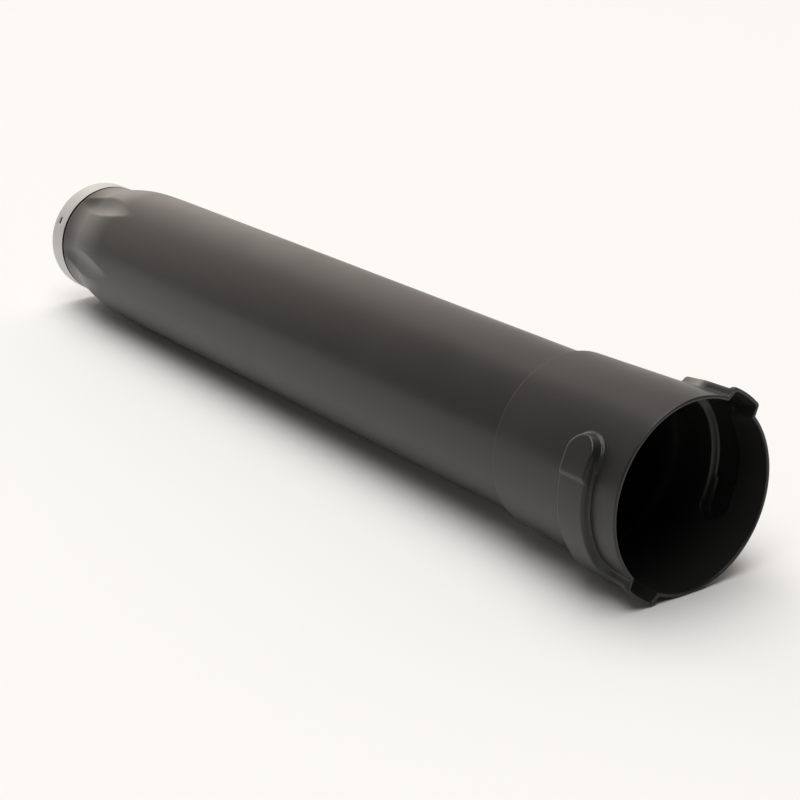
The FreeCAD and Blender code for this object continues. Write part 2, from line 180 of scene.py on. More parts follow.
@dataclass(frozen=True)
class Lie:
    """How the tube lies on the floor: its mouth, the way of its axis and its roll about it."""

    mouth: tuple[float, float, float]
    out: tuple[float, float, float]
    roll: float = 61.82

    @classmethod
    def from_mount(cls, mount: dict, station: float) -> "Lie":
        """Reads the lie from a mount on the axis.

        Args:
            mount: a mount whose axis points out of the mouth.
            station: the mount's distance from the mouth.

        Returns:
            The lie of the tube.
        """
        out = np.array(mount["axis"], float)
        out /= np.linalg.norm(out)
        mouth = np.array(mount["pos_m"], float) / MM + station * out
        return cls(tuple(mouth), tuple(out))

    def place(self, station: np.ndarray, radius: np.ndarray, angle: np.ndarray) -> np.ndarray:
        """Turns stations, radii and angles into points of the row frame.

        A point is the mouth, less the station along the outward axis, plus the radius times the cosine of
        the rolled angle upwards and times its sine towards -Y.

        Args:
            station: distances from the mouth.
            radius: distances from the axis.
            angle: angles about the axis, in degrees.

        Returns:
            Points in metres, with a last axis of 3.
        """
        out = np.array(self.out)
        left = np.array([0.0, -1.0, 0.0])
        up = np.cross(left, out)
        turn = np.radians(angle + self.roll)[..., None]
        sideways = np.cos(turn) * up + np.sin(turn) * left
        return (np.array(self.mouth) - station[..., None] * out + radius[..., None] * sideways) * MM


@dataclass
class Piece:
    """A visible piece of the object: its name, the solid that it stands for and its material slot."""

    name: str
    node: str
    slot: str

    def dress(self, piece: bpy.types.Object, material: bpy.types.Material) -> None:
        """Gives the built piece its finish and lets it stand for its solid.

        Args:
            piece: the built piece.
            material: the finish.
        """
        piece.data.materials.append(material)
        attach(piece, BODY)
        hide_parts(self.node)


@dataclass(frozen=True)
class TubeMesh:
    """Where the tube's mesh lines stand: stations in millimetres, angles in degrees.

    Spans are pairs of an end and the largest step up to it. The shoulder's ends count from the end of
    the socket, and the nubs' zone from the collar.
    """

    around: float = 1.25
    hollow_around: float = 3.0
    arc_points: int = 6
    level_points: int = 5
    turn_start: float = -18.0
    turn_spans: tuple[tuple[float, float], ...] = ((17.0, 0.6), (63.0, 1.8), (100.0, 0.6))
    turn_step: float = 2.4
    nub_zone: tuple[float, float] = (9.0, 6.0)
    nub_step: float = 0.2
    spigot_end_step: float = 1.2
    spigot_foot_step: float = 1.5
    neck_lead: float = 14.0
    neck_step: float = 0.9
    body_step: float = 12.0
    shoulder_lead: float = 2.5
    shoulder_spans: tuple[tuple[float, float], ...] = ((2.5, 0.9), (0.6, 0.45), (-0.6, 0.12), (-2.5, 0.7))
    socket_step: float = 4.0
    coarse_end: float = 38.0
    fine_end: float = 35.0
    near_spans: tuple[tuple[float, float], ...] = (
        (31.5, 1.2), (28.0, 0.3), (16.5, 0.55), (13.0, 0.3), (6.0, 0.6))
    lip_gap: float = 0.4
    lip_step: float = 1.2
    inner_start: float = 1.2
    inner_spans: tuple[tuple[float, float], ...] = ((12.0, 1.4), (18.0, 0.5), (27.0, 0.9), (32.0, 0.45))
    inner_step: float = 1.5
    seat_step: float = 5.0
    seat_lead_step: float = 1.0
    ledge_step: float = 0.1
    ledge_back_step: float = 3.0
    duct_step: float = 30.0
    hollow_lead: float = 16.0
    hollow_neck_step: float = 2.0
    outlet_step: float = 4.0


@dataclass
class NozzleTube(Piece):
    """The moulded tube: bayonet socket, shoulder, body, scalloped neck and the spigot for the ring."""

    name: str = "moulded_tube"
    node: str = "nozzle_tube"
    slot: str = "black_plastic"
    wall: float = 2.4
    mouth_wall: float = 1.5
    mouth_radius: float = 39.4
    socket_length: float = 73.5
    socket_taper: float = 2.3
    shoulder_run: float = 4.5
    shoulder_drop: float = 2.1
    shoulder_face: float = 1.6
    shoulder_soft: float = 0.2
    body_length: float = 322.0
    body_taper: float = 1.5
    neck_length: float = 46.2
    neck_drop: float = 4.8
    neck_share: float = 0.63
    collar_round: float = 0.5
    spigot_drop: float = 0.95
    spigot_length: float = 12.4
    spigot_wall: float = 2.2
    seat_radius: float = 34.85
    seat_length: float = 22.0
    seat_lead: float = 3.0
    ledge_back: float = 1.5
    ledge_edge: float = 0.15
    rim_round: float = 0.6
    track_station: float = 22.2
    track_turns: int = 2
    roof_rise: float = 4.3
    bead_length: float = 1.6
    band_rise: float = 3.2
    entrance_half: float = 8.9
    band_half: float = 8.2
    track_draft: float = 14.0
    track_wall: float = 1.5
    track_round: float = 1.1
    foot_round: float = 0.7
    lug_turn: float = 81.5
    corner_start: float = 15.8
    corner_short: float = 0.8
    corner_round: float = 2.0
    corner_sweep: float = 9.0
    pocket_reach: float = 9.4
    pocket_ramp: float = 1.3
    pocket_soft: float = 0.4
    border_width: float = 1.0
    border_soft: float = 0.8
    border_rise: float = 0.45
    border_reach: float = 6.0
    border_fade: float = 2.5
    flute_count: int = 6
    flute_depth: float = 2.3
    flute_tip: float = 390.0
    flute_middle: float = 419.5
    flute_half: float = 6.4
    flute_soft: float = 0.1
    nub_count: int = 2
    nub_length: float = 3.3
    nub_width: float = 1.6
    nub_rise: float = 0.7
    nub_back: float = 7.6
    nub_soft: float = 0.3
    mesh: TubeMesh = TubeMesh()

    @property
    def body_at(self) -> float:
        """Station at which the body starts, behind the shoulder."""
        return self.socket_length + self.shoulder_run

    @property
    def neck_at(self) -> float:
        """Station at which the neck starts."""
        return self.body_at + self.body_length

    @property
    def collar_at(self) -> float:
        """Station of the collar's end face."""
        return self.neck_at + self.neck_length

    @property
    def spigot_at(self) -> float:
        """Station of the spigot's end."""
        return self.collar_at + self.spigot_length

    @property
    def body_start(self) -> float:
        """Outside radius at the start of the body."""
        return self.mouth_radius - self.socket_taper - self.shoulder_drop

    @property
    def body_end(self) -> float:
        """Outside radius at the end of the body."""
        return self.body_start - self.body_taper

    @property
    def collar_radius(self) -> float:
        """Outside radius of the collar."""
        return self.body_end - self.neck_drop

    @property
    def spigot_radius(self) -> float:
        """Outside radius of the spigot."""
        return self.collar_radius - self.spigot_drop

    @property
    def outlet_radius(self) -> float:
        """Inside radius of the outlet."""
        return self.spigot_radius - self.spigot_wall

    def socket_line(self, station: np.ndarray) -> np.ndarray:
        """Outside of the socket: the mouth's radius less an even taper."""
        return self.mouth_radius - self.socket_taper / self.socket_length * station

    def necking(self, station: np.ndarray) -> np.ndarray:
        """Share of the neck's drop at a station, as two parabolas.

        With x from 0 to 1 along the neck, the first is x^2 / share up to the share, and the second is
        1 - (1 - x)^2 / (1 - share), so both ends are level.

        Args:
            station: distances from the mouth.

        Returns:
            Shares from 0 to 1.
        """
        x = np.clip((station - self.neck_at) / self.neck_length, 0.0, 1.0)
        first = x * x / self.neck_share
        second = 1.0 - (1.0 - x) ** 2 / (1.0 - self.neck_share)
        return np.where(x < self.neck_share, first, second)

    def plain_outside(self, station: np.ndarray) -> np.ndarray:
        """Outside radius with no tracks and no scallops.

        It is the lower of the socket's line and the shoulder's slope, then the higher of that and the
        body's line, with soft crossings, less the neck's drop.

        Args:
            station: distances from the mouth.

        Returns:
            Outside radii.
        """
        socket = self.socket_line(station)
        slope = self.shoulder_drop / self.shoulder_face
        past = station - self.socket_length
        ramp = self.mouth_radius - self.socket_taper - slope * past
        along = (station - self.body_at) / self.body_length
        body = self.body_start - self.body_taper * np.minimum(along, 1.0)
        high = soft_min(socket, ramp, self.shoulder_soft)
        return soft_max(high, body, self.shoulder_soft) - self.neck_drop * self.necking(station)

    def plain_inside(self, station: np.ndarray) -> np.ndarray:
        """Inside radius with no tracks and no scallops: straight runs over the socket's seat and ledge.

        Args:
            station: distances from the mouth.

        Returns:
            Inside radii.
        """
        ledge = self.socket_length - self.ledge_back
        seat = ledge - self.seat_length
        lead = seat - self.seat_lead
        duct = self.body_start - self.wall
        mouth = self.mouth_radius - self.mouth_wall
        bore = float(self.socket_line(np.array(lead))) - self.mouth_wall
        stations = [0.0, lead, seat, ledge - self.ledge_edge, ledge, self.body_at, self.neck_at]
        radii = [mouth, bore, self.seat_radius, self.seat_radius, duct, duct, self.body_end - self.wall]
        drop = self.body_end - self.wall - self.outlet_radius
        return np.interp(station, stations, radii) - drop * self.necking(station)

    def scalloped(self, station: np.ndarray, angle: np.ndarray, plain: np.ndarray) -> np.ndarray:
        """Presses the scallops into the neck.

        A scallop is a hollow with the outline of a lens, pointed at the tip and nearly closed at the
        collar. With x the way along from its middle over its reach, and w the way across over its half
        width, it takes depth ((1 - x^2)^2 - w^2) off the radius.

        Args:
            station: distances from the mouth.
            angle: angles about the axis, in degrees.
            plain: radii before the scallops.

        Returns:
            Radii after the scallops.
        """
        step = FULL_TURN / self.flute_count
        off = np.radians(np.mod(angle, step) - 0.5 * step)
        x = (station - self.flute_middle) / (self.flute_middle - self.flute_tip)
        lens = np.maximum(1.0 - x * x, 0.0)
        w = plain * np.sin(off) / self.flute_half
        dish = soft_max(lens * lens - w * w, np.zeros_like(plain), self.flute_soft)
        return plain - self.flute_depth * dish * (lens > 0.0)

    def wall_height(self, inside: np.ndarray, rise: np.ndarray, run: np.ndarray) -> np.ndarray:
        """Height of a track's wall at a distance inside its foot line.

        The wall climbs by the distance over its run, with an arc at the foot and one under the roof. For a
        wall at an angle of climb, an arc of radius r leaves each line r tan(climb / 2) from the corner.

        Args:
            inside: distances inside the foot line.
            rise: height of the roof.
            run: distance that the wall moves in for each unit of height.

        Returns:
            Heights from 0 to the rise.
        """
        climb = np.arctan2(1.0, run)
        tangent = np.tan(0.5 * climb)
        slope = inside / run
        foot = inside + self.foot_round * tangent
        foot_chord = np.sqrt(np.maximum(self.foot_round ** 2 - np.maximum(foot, 0.0) ** 2, 0.0))
        low = self.foot_round - foot_chord
        height = np.where(inside < self.foot_round * tangent * np.cos(climb), low, slope)
        corner = rise * run
        level = corner + self.track_round * tangent - inside
        roof_chord = np.sqrt(np.maximum(self.track_round ** 2 - np.maximum(level, 0.0) ** 2, 0.0))
        high = rise - self.track_round + roof_chord
        return np.where(inside > corner - self.track_round * tangent * np.cos(climb), high, height)

    def track_height(self, station: np.ndarray, angle: np.ndarray, side: Side) -> np.ndarray:
        """Height of the L-shaped bayonet tracks over the plain socket.

        The entrance is a stroke along the axis with a slanted outer corner and a bead at the mouth. The
        band is a stroke around the socket, round at the pocket and squared off at the middle of the
        entrance.
        The pocket is a short higher stroke at its far end, with a low raised border on the outside. Each
        has a distance from its foot line in the unrolled socket; the entrance and the band are joined by
        a soft minimum of the two distances, which sweeps the inner corner.

        Args:
            station: distances from the mouth.
            angle: angles about the axis, in degrees.
            side: the face of the wall, which sets how far the tracks are offset.

        Returns:
            Heights over the plain face.
        """
        inner = side is Side.INNER
        draft = math.tan(math.radians(self.track_draft))
        side_wall = self.track_wall / math.cos(math.radians(self.track_draft))
        inset = side_wall - self.mouth_wall * draft if inner else 0.0
        lift = self.mouth_wall - self.track_wall if inner else 0.0
        step = FULL_TURN / self.track_turns
        before = 0.25 * step
        turn = np.mod(angle + before, step) - before
        foot = float(self.socket_line(np.array(self.track_station))) - (self.mouth_wall if inner else 0.0)
        v = station - self.track_station

        off = np.radians(turn - self.lug_turn)
        p = foot * np.sin(off)
        lead = self.track_station - self.corner_start
        tip = self.band_half - self.corner_short
        norm = math.hypot(tip + lead, self.entrance_half)
        sides_gap = np.abs(p) - (self.entrance_half - inset)
        slant_gap = (p * (tip + lead) + (v - tip) * self.entrance_half) / norm + inset
        end_gap = np.maximum(slant_gap, v - tip + inset)
        d_entrance = soft_max(sides_gap, end_gap, self.corner_round)
        lean = np.abs(np.sin(off)) * np.where(sides_gap > end_gap, 1.0, (tip + lead) / norm)

        arc = foot * np.radians(turn)
        beyond = np.maximum(-arc, 0.0)
        d_band = np.hypot(beyond, v) - (self.band_half - inset)
        d_band = np.maximum(d_band, arc - foot * math.radians(self.lug_turn))
        lean_band = np.abs(beyond) / foot

        share = np.clip(0.5 + 0.5 * (d_band - d_entrance) / self.corner_sweep, 0.0, 1.0)
        near = np.clip(1.0 - np.abs(d_entrance - d_band) / self.corner_sweep, 0.0, 1.0)
        within = ease((d_entrance + self.corner_sweep) / self.corner_sweep)
        d_low = np.minimum(d_entrance, d_band) - 0.25 * self.corner_sweep * near * near * within
        run = draft + lean * share + lean_band * (1.0 - share)
        low = self.wall_height(-d_low, np.full_like(d_low, self.band_rise + lift), run)

        bead = 1.0 - ease((station - self.bead_length) / self.bead_length)
        roof = self.band_rise + (self.roof_rise - self.band_rise) * bead
        entrance = self.wall_height(-d_entrance, roof + lift, draft + lean)

        sides = self.wall_height(-d_band, np.full_like(d_band, self.roof_rise + lift), draft + lean_band)
        steep = (self.roof_rise - self.band_rise) / self.pocket_ramp
        around = foot * np.sin(np.radians(np.clip(turn, -QUARTER_TURN, QUARTER_TURN)))
        ramp = self.band_rise + lift + steep * (self.pocket_reach - around)
        pocket = soft_min(sides, ramp, self.pocket_soft)

        height = np.maximum(np.maximum(low, entrance), pocket)
        if not inner:
            run_on = ease((self.border_reach - arc) / self.border_fade)
            edge = ease((self.border_width - d_band) / self.border_soft)
            height = np.maximum(height, self.border_rise * edge * run_on * (d_band > -self.border_width))
        return np.maximum(height, 0.0)

    def outside(self, station: np.ndarray, angle: np.ndarray) -> np.ndarray:
        """Outside radius: the plain form with its scallops, plus the tracks, less the collar's rounding.

        Args:
            station: distances from the mouth.
            angle: angles about the axis, in degrees.

        Returns:
            Outside radii.
        """
        plain = self.scalloped(station, angle, self.plain_outside(station))
        edge = np.clip(station - (self.collar_at - self.collar_round), 0.0, self.collar_round)
        rounding = self.collar_round - np.sqrt(self.collar_round ** 2 - edge ** 2)
        return plain + self.track_height(station, angle, Side.OUTER) - rounding

    def inside(self, station: np.ndarray, angle: np.ndarray) -> np.ndarray:
        """Inside radius: the higher of the plain hollow and the tracks' channels, with the scallops.

        Args:
            station: distances from the mouth.
            angle: angles about the axis, in degrees.

        Returns:
            Inside radii.
        """
        plain = self.plain_inside(station)
        raised = self.track_height(station, angle, Side.INNER)
        channel = self.socket_line(station) - self.mouth_wall + raised
        within = station < self.track_station + 2.0 * self.band_half
        hollow = np.where(within, np.maximum(plain, channel), plain)
        return np.where(station > self.body_at, self.scalloped(station, angle, hollow), hollow)

    def on_spigot(self, station: np.ndarray, angle: np.ndarray) -> np.ndarray:
        """Spigot radius with the snap nubs: under each window, a box whose edges are eased over nub_soft.

        Args:
            station: distances from the mouth.
            angle: angles about the axis, in degrees.

        Returns:
            Outside radii of the spigot.
        """
        step = FULL_TURN / self.nub_count
        turn = np.radians(np.mod(angle + 0.5 * step, step) - 0.5 * step)
        across = 0.5 * self.nub_length - np.abs(self.spigot_radius * turn)
        along = 0.5 * self.nub_width - np.abs(station - self.collar_at - self.nub_back)
        box = ease(across / self.nub_soft + 0.5) * ease(along / self.nub_soft + 0.5)
        return self.spigot_radius + self.nub_rise * box

    def socket_angles(self) -> np.ndarray:
        """Angles of the socket's mesh lines, close together over the entrances and the pockets.

        Returns:
            Rising angles, in degrees.
        """
        mesh = self.mesh
        step = FULL_TURN / self.track_turns
        one = spread(mesh.turn_start, *mesh.turn_spans, (step + mesh.turn_start, mesh.turn_step))[:-1]
        every = np.concatenate([one + step * k for k in range(self.track_turns)])
        return np.sort(np.mod(every, FULL_TURN))

    def lip(self, angle: np.ndarray) -> tuple[np.ndarray, np.ndarray]:
        """The mouth's face: a quarter round, a level run and a quarter round, from the outside inwards.

        Args:
            angle: angles of the mesh lines.

        Returns:
            Stations and radii, one row for each ring.
        """
        r = self.rim_round
        t = np.linspace(0.0, 0.5 * math.pi, self.mesh.arc_points)[:, None]
        start = np.full_like(angle, r)
        outer = self.outside(start, angle)
        inner = self.inside(start, angle)
        level = np.linspace(outer - r, inner + r, self.mesh.level_points)[1:-1]
        stations = [r - r * np.sin(t) + 0.0 * angle, 0.0 * level, r - r * np.cos(t) + 0.0 * angle]
        radii = [outer - r + r * np.cos(t), level, inner + r - r * np.sin(t)]
        return np.concatenate(stations), np.concatenate(radii)

    def far_band(self) -> Band:
        """Rings over the outside, from the spigot's end over the collar and the body to the socket.

        Returns:
            Stations and radii, one row for each ring, and the angles of the mesh lines.
        """
        mesh = self.mesh
        around = np.arange(0.0, FULL_TURN, mesh.around)
        nub_far, nub_near = mesh.nub_zone
        spigot = spread(self.spigot_at, (self.collar_at + nub_far, mesh.spigot_end_step),
                        (self.collar_at + nub_near, mesh.nub_step), (self.collar_at, mesh.spigot_foot_step))
        s_spigot, a_spigot = np.meshgrid(spigot, around, indexing="ij")
        arc = np.linspace(0.5 * math.pi, 0.0, mesh.arc_points)
        collar = self.collar_at - self.collar_round * (1.0 - np.sin(arc))
        shoulder = [(self.socket_length + off, step) for off, step in mesh.shoulder_spans]
        run = spread(self.collar_at - self.collar_round, (self.neck_at - mesh.neck_lead, mesh.neck_step),
                     (self.body_at + mesh.shoulder_lead, mesh.body_step), *shoulder,
                     (mesh.coarse_end, mesh.socket_step))
        s_far, a_far = np.meshgrid(np.concatenate([collar, run[1:]]), around, indexing="ij")
        radius = np.concatenate([self.on_spigot(s_spigot, a_spigot), self.outside(s_far, a_far)])
        return np.concatenate([s_spigot, s_far]), radius, around

    def socket_band(self) -> Band:
        """Rings over the outside of the socket, around its lip and into it.

        Returns:
            Stations and radii, one row for each ring, and the angles of the mesh lines.
        """
        mesh = self.mesh
        fine = self.socket_angles()
        near_run = spread(mesh.fine_end, *mesh.near_spans, (self.rim_round + mesh.lip_gap, mesh.lip_step))
        s_near, a_near = np.meshgrid(near_run, fine, indexing="ij")
        s_lip, r_lip = self.lip(fine)
        inner_run = spread(mesh.inner_start, *mesh.inner_spans, (mesh.fine_end, mesh.inner_step))
        s_in, a_in = np.meshgrid(inner_run, fine, indexing="ij")
        radius = np.concatenate([self.outside(s_near, a_near), r_lip, self.inside(s_in, a_in)])
        return np.concatenate([s_near, s_lip, s_in]), radius, fine

    def hollow_band(self) -> Band:
        """Rings down the hollow, from the socket over its seat and ledge to the outlet.

        Returns:
            Stations and radii, one row for each ring, and the angles of the mesh lines.
        """
        mesh = self.mesh
        around = np.arange(0.0, FULL_TURN, mesh.hollow_around)
        ledge = self.socket_length - self.ledge_back
        seat = ledge - self.seat_length
        run = spread(mesh.coarse_end, (seat - self.seat_lead, mesh.seat_step), (seat, mesh.seat_lead_step),
                     (ledge - self.ledge_edge, mesh.seat_step), (ledge, mesh.ledge_step),
                     (self.body_at, mesh.ledge_back_step),
                     (self.neck_at - mesh.hollow_lead, mesh.duct_step),
                     (self.collar_at, mesh.hollow_neck_step), (self.spigot_at, mesh.outlet_step))
        station, angle = np.meshgrid(run, around, indexing="ij")
        return station, self.inside(station, angle), around

    def build(self, lie: Lie) -> bpy.types.Object:
        """Builds the tube as one closed skin: three bands of rings, each joined to the next one.

        Args:
            lie: how the tube lies.

        Returns:
            The finished piece.
        """
        points, faces, rings, start = [], [], [], 0
        for station, radius, angle in (self.far_band(), self.socket_band(), self.hollow_band()):
            index = np.arange(station.size).reshape(station.shape) + start
            start += station.size
            points.append(lie.place(station, radius, np.broadcast_to(angle, station.shape)).reshape(-1, 3))
            faces.append(grid_faces(index))
            rings.append((index, angle))
        for (first, first_at), (second, second_at) in zip(rings, rings[1:] + rings[:1]):
            faces.append(ring_to_ring(first[-1], first_at, second[0], second_at))
        return put_mesh(self.name, np.concatenate(points), faces)


@dataclass
class WearRing(Piece):
    """The pressed metal ring on the spigot, with an inward lip and two windows for the snap nubs."""

    name: str = "metal_wear_ring"
    node: str = "wear_ring"
    slot: str = "ring_metal"
    start: float = 447.6
    length: float = 11.8
    radius: float = 28.6
    sheet: float = 0.8
    bend: float = 1.2
    edge_round: float = 0.2
    # Share of the near rounding that takes the painted gap shade.
    painted_gap_shade_share: float = 0.5
    lip_radius: float = 25.85
    window_back: float = 6.2
    window_length: float = 3.6
    window_width: float = 1.9
    window_count: int = 2
    arc_points: int = 6
    wall_step: float = 1.5
    window_step: float = 0.5
    window_turn: float = 1.2
    plain_turn: float = 2.0

    def section(self) -> tuple[np.ndarray, np.ndarray, tuple[int, int], tuple[int, int]]:
        """Draws the closed section from the near edge over the outside, the lip and back inside.

        Returns:
            Stations and radii of the section, and the row numbers of the window's two ends on the outside
            and on the inside.
        """
        end = self.start + self.length
        e, b = self.edge_round, self.bend
        quarter = np.linspace(0.0, 0.5 * math.pi, self.arc_points)
        middle = self.start + self.window_back
        low, high = middle - 0.5 * self.window_width, middle + 0.5 * self.window_width
        walls = spread(self.start + e, (low, self.wall_step), (high, self.window_step),
                       (end - b, self.wall_step))
        inner = self.radius - self.sheet
        stations = [self.start + e - e * np.cos(quarter[:-1]), walls, end - b + b * np.sin(quarter[1:]),
                    end - e + e * np.cos(quarter), [end - self.sheet], walls[::-1], [self.start]]
        radii = [self.radius - e + e * np.sin(quarter[:-1]), np.full_like(walls, self.radius),
                 self.radius - b + b * np.cos(quarter[1:]), self.lip_radius + e - e * np.sin(quarter),
                 [inner], np.full_like(walls, inner), [inner]]
        first = len(quarter) - 1
        last = first + len(walls) + (len(quarter) - 1) + len(quarter) + 1 + len(walls) - 1
        row_low = int(np.argmin(np.abs(walls - low)))
        row_high = int(np.argmin(np.abs(walls - high)))
        outside = (first + row_low, first + row_high)
        inside = (last - row_low, last - row_high)
        return np.concatenate(stations), np.concatenate(radii), outside, inside

    def build(self, lie: Lie) -> bpy.types.Object:
        """Carries the section around the axis, opens the windows through the sheet and marks the near edge
        for the painted shade of the gap at the collar.

        Args:
            lie: how the tube lies.

        Returns:
            The finished piece.
        """
        station, radius, outside, inside = self.section()
        half = math.degrees(0.5 * self.window_length / self.radius)
        step = FULL_TURN / self.window_count
        one = spread(-half, (half, self.window_turn), (step - half, self.plain_turn))[:-1]
        angle = np.concatenate([one + step * k for k in range(self.window_count)])
        s, a = np.meshgrid(station, angle, indexing="ij")
        r = np.broadcast_to(radius[:, None], s.shape)
        index = np.arange(s.size).reshape(s.shape)
        faces = grid_faces(np.concatenate([index, index[:1]])).reshape(len(station), len(angle), 4)
        keep = np.ones(faces.shape[:2], bool)
        across = math.ceil(2.0 * half / self.window_turn)
        walls = []
        for k in range(self.window_count):
            left = k * len(one)
            keep[outside[0]:outside[1], left:left + across] = False
            keep[inside[1]:inside[0], left:left + across] = False
            columns = slice(left, left + across + 1)
            rows_out = np.arange(outside[0], outside[1] + 1)
            rows_in = np.arange(inside[0], inside[1] - 1, -1)
            ends = [(index[row, columns], index[under, columns]) for row, under in zip(outside, inside)]
            sides = [(index[rows_out, column], index[rows_in, column]) for column in (left, left + across)]
            for top, under in ends + sides:
                walls.append(np.stack([top[:-1], top[1:], under[1:], under[:-1]], axis=-1))
        piece = put_mesh(self.name, lie.place(s, r, a), [faces[keep]] + walls)
        self.turn_outward(piece)
        # Painted shade: the ring's near face and the start of its rounding are marked, so the finish turns
        # them near black as the shadow gap between the ring and the collar.
        painted_gap_shade = s < self.start + self.painted_gap_shade_share * self.edge_round
        gap_shade_mask = piece.data.attributes.new(PAINTED_GAP_SHADE_MASK, "FLOAT", "POINT")
        gap_shade_mask.data.foreach_set("value", painted_gap_shade.ravel().astype(np.float32))
        return piece

    def turn_outward(self, piece: bpy.types.Object) -> None:
        """Turns all faces of the closed ring outward.

        Args:
            piece: the ring.
        """
        work = bmesh.new()
        work.from_mesh(piece.data)
        bmesh.ops.recalc_face_normals(work, faces=work.faces)
        work.to_mesh(piece.data)
        work.free()


@dataclass(frozen=True)
class MouldedPlastic:
    """Satin black moulding with a fine grain, and with soft patches in its tint and gloss."""

    dark: tuple[float, float, float, float] = (0.0160, 0.0157, 0.0153, 1.0)
    light: tuple[float, float, float, float] = (0.0205, 0.0200, 0.0194, 1.0)
    rough_low: float = 0.30
    rough_high: float = 0.37
    patch_low: float = 0.3
    patch_high: float = 0.7
    patch_scale: float = 28.0
    patch_detail: float = 5.0
    grain_scale: float = 2600.0
    grain_detail: float = 3.0
    grain_depth: float = 0.000012
    grain_strength: float = 0.35
    specular: float = 0.40

    def material(self) -> bpy.types.Material:
        """Builds the finish.

        Returns:
            The material.
        """
        mat = bpy.data.materials.new("satin_moulding")
        mat.use_nodes = True
        nodes, links = mat.node_tree.nodes, mat.node_tree.links
        shader = nodes["Principled BSDF"]
        shader.inputs["Specular IOR Level"].default_value = self.specular
        place = nodes.new("ShaderNodeTexCoord")
        grain = nodes.new("ShaderNodeTexNoise")
        grain.inputs["Scale"].default_value = self.grain_scale
        grain.inputs["Detail"].default_value = self.grain_detail
        patch = nodes.new("ShaderNodeTexNoise")
        patch.inputs["Scale"].default_value = self.patch_scale
        patch.inputs["Detail"].default_value = self.patch_detail
        tint = nodes.new("ShaderNodeMix")
        tint.data_type = "RGBA"
        tint.inputs["A"].default_value = self.dark
        tint.inputs["B"].default_value = self.light
        rough = nodes.new("ShaderNodeMapRange")
        rough.inputs["From Min"].default_value = self.patch_low
        rough.inputs["From Max"].default_value = self.patch_high
        rough.inputs["To Min"].default_value = self.rough_low
        rough.inputs["To Max"].default_value = self.rough_high
        bump = nodes.new("ShaderNodeBump")
        bump.inputs["Strength"].default_value = self.grain_strength
        bump.inputs["Distance"].default_value = self.grain_depth
        links.new(place.outputs["Object"], grain.inputs["Vector"])
        links.new(place.outputs["Object"], patch.inputs["Vector"])
        links.new(patch.outputs["Fac"], tint.inputs["Factor"])
        links.new(tint.outputs["Result"], shader.inputs["Base Color"])
        links.new(patch.outputs["Fac"], rough.inputs["Value"])
        links.new(rough.outputs["Result"], shader.inputs["Roughness"])
        links.new(grain.outputs["Fac"], bump.inputs["Height"])
        links.new(bump.outputs["Normal"], shader.inputs["Normal"])
        return mat


@dataclass(frozen=True)
class RolledMetal:
    """Satin rolled metal with fine lines around the ring, and near black painted shade on its near edge for
    the shadow gap at the collar.
    """

    dark: tuple[float, float, float, float] = (0.545, 0.538, 0.523, 1.0)
    light: tuple[float, float, float, float] = (0.625, 0.618, 0.602, 1.0)
    # Near black painted shade, standing for the shadow gap between the ring and the collar.
    painted_gap_shade: tuple[float, float, float, float] = (0.012, 0.012, 0.012, 1.0)
    metallic: float = 0.4
    rough_low: float = 0.38
    rough_high: float = 0.56
    lines: tuple[float, float, float] = (5200.0, 45.0, 45.0)
    line_detail: float = 4.0
    line_depth: float = 0.000008
    line_strength: float = 0.4

    def material(self) -> bpy.types.Material:
        """Builds the finish.

        Returns:
            The material.
        """
        mat = bpy.data.materials.new("satin_rolled_metal")
        mat.use_nodes = True
        nodes, links = mat.node_tree.nodes, mat.node_tree.links
        shader = nodes["Principled BSDF"]
        shader.inputs["Metallic"].default_value = self.metallic
        place = nodes.new("ShaderNodeTexCoord")
        stretch = nodes.new("ShaderNodeMapping")
        stretch.inputs["Scale"].default_value = self.lines
        lines = nodes.new("ShaderNodeTexNoise")
        lines.inputs["Scale"].default_value = 1.0
        lines.inputs["Detail"].default_value = self.line_detail
        tint = nodes.new("ShaderNodeMix")
        tint.data_type = "RGBA"
        tint.inputs["A"].default_value = self.dark
        tint.inputs["B"].default_value = self.light
        rough = nodes.new("ShaderNodeMapRange")
        rough.inputs["To Min"].default_value = self.rough_low
        rough.inputs["To Max"].default_value = self.rough_high
        bump = nodes.new("ShaderNodeBump")
        bump.inputs["Strength"].default_value = self.line_strength
        bump.inputs["Distance"].default_value = self.line_depth
        # Painted shade: the marked near edge is mixed to near black, for the shadow of the gap at the
        # collar.
        gap_shade_mask = nodes.new("ShaderNodeAttribute")
        gap_shade_mask.attribute_name = PAINTED_GAP_SHADE_MASK
        edge = nodes.new("ShaderNodeMix")
        edge.data_type = "RGBA"
        edge.inputs["B"].default_value = self.painted_gap_shade
        links.new(place.outputs["Object"], stretch.inputs["Vector"])
        links.new(stretch.outputs["Vector"], lines.inputs["Vector"])
        links.new(lines.outputs["Fac"], tint.inputs["Factor"])
        links.new(gap_shade_mask.outputs["Fac"], edge.inputs["Factor"])
        links.new(tint.outputs["Result"], edge.inputs["A"])
        links.new(edge.outputs["Result"], shader.inputs["Base Color"])
        links.new(lines.outputs["Fac"], rough.inputs["Value"])
        links.new(rough.outputs["Result"], shader.inputs["Roughness"])
        links.new(lines.outputs["Fac"], bump.inputs["Height"])
        links.new(bump.outputs["Normal"], shader.inputs["Normal"])
        return mat


@dataclass(frozen=True)
class PaleFloor:
    """Plain warm white floor that takes soft shadows."""

    colour: tuple[float, float, float, float] = (0.96, 0.957, 0.95, 1.0)
    roughness: float = 0.9
    specular: float = 0.0

    def material(self) -> bpy.types.Material:
        """Builds the finish.

        Returns:
            The material.
        """
        mat = bpy.data.materials.new("pale_floor")
        mat.use_nodes = True
        shader = mat.node_tree.nodes["Principled BSDF"]
        shader.inputs["Base Color"].default_value = self.colour
        shader.inputs["Roughness"].default_value = self.roughness
        shader.inputs["Specular IOR Level"].default_value = self.specular
        return mat


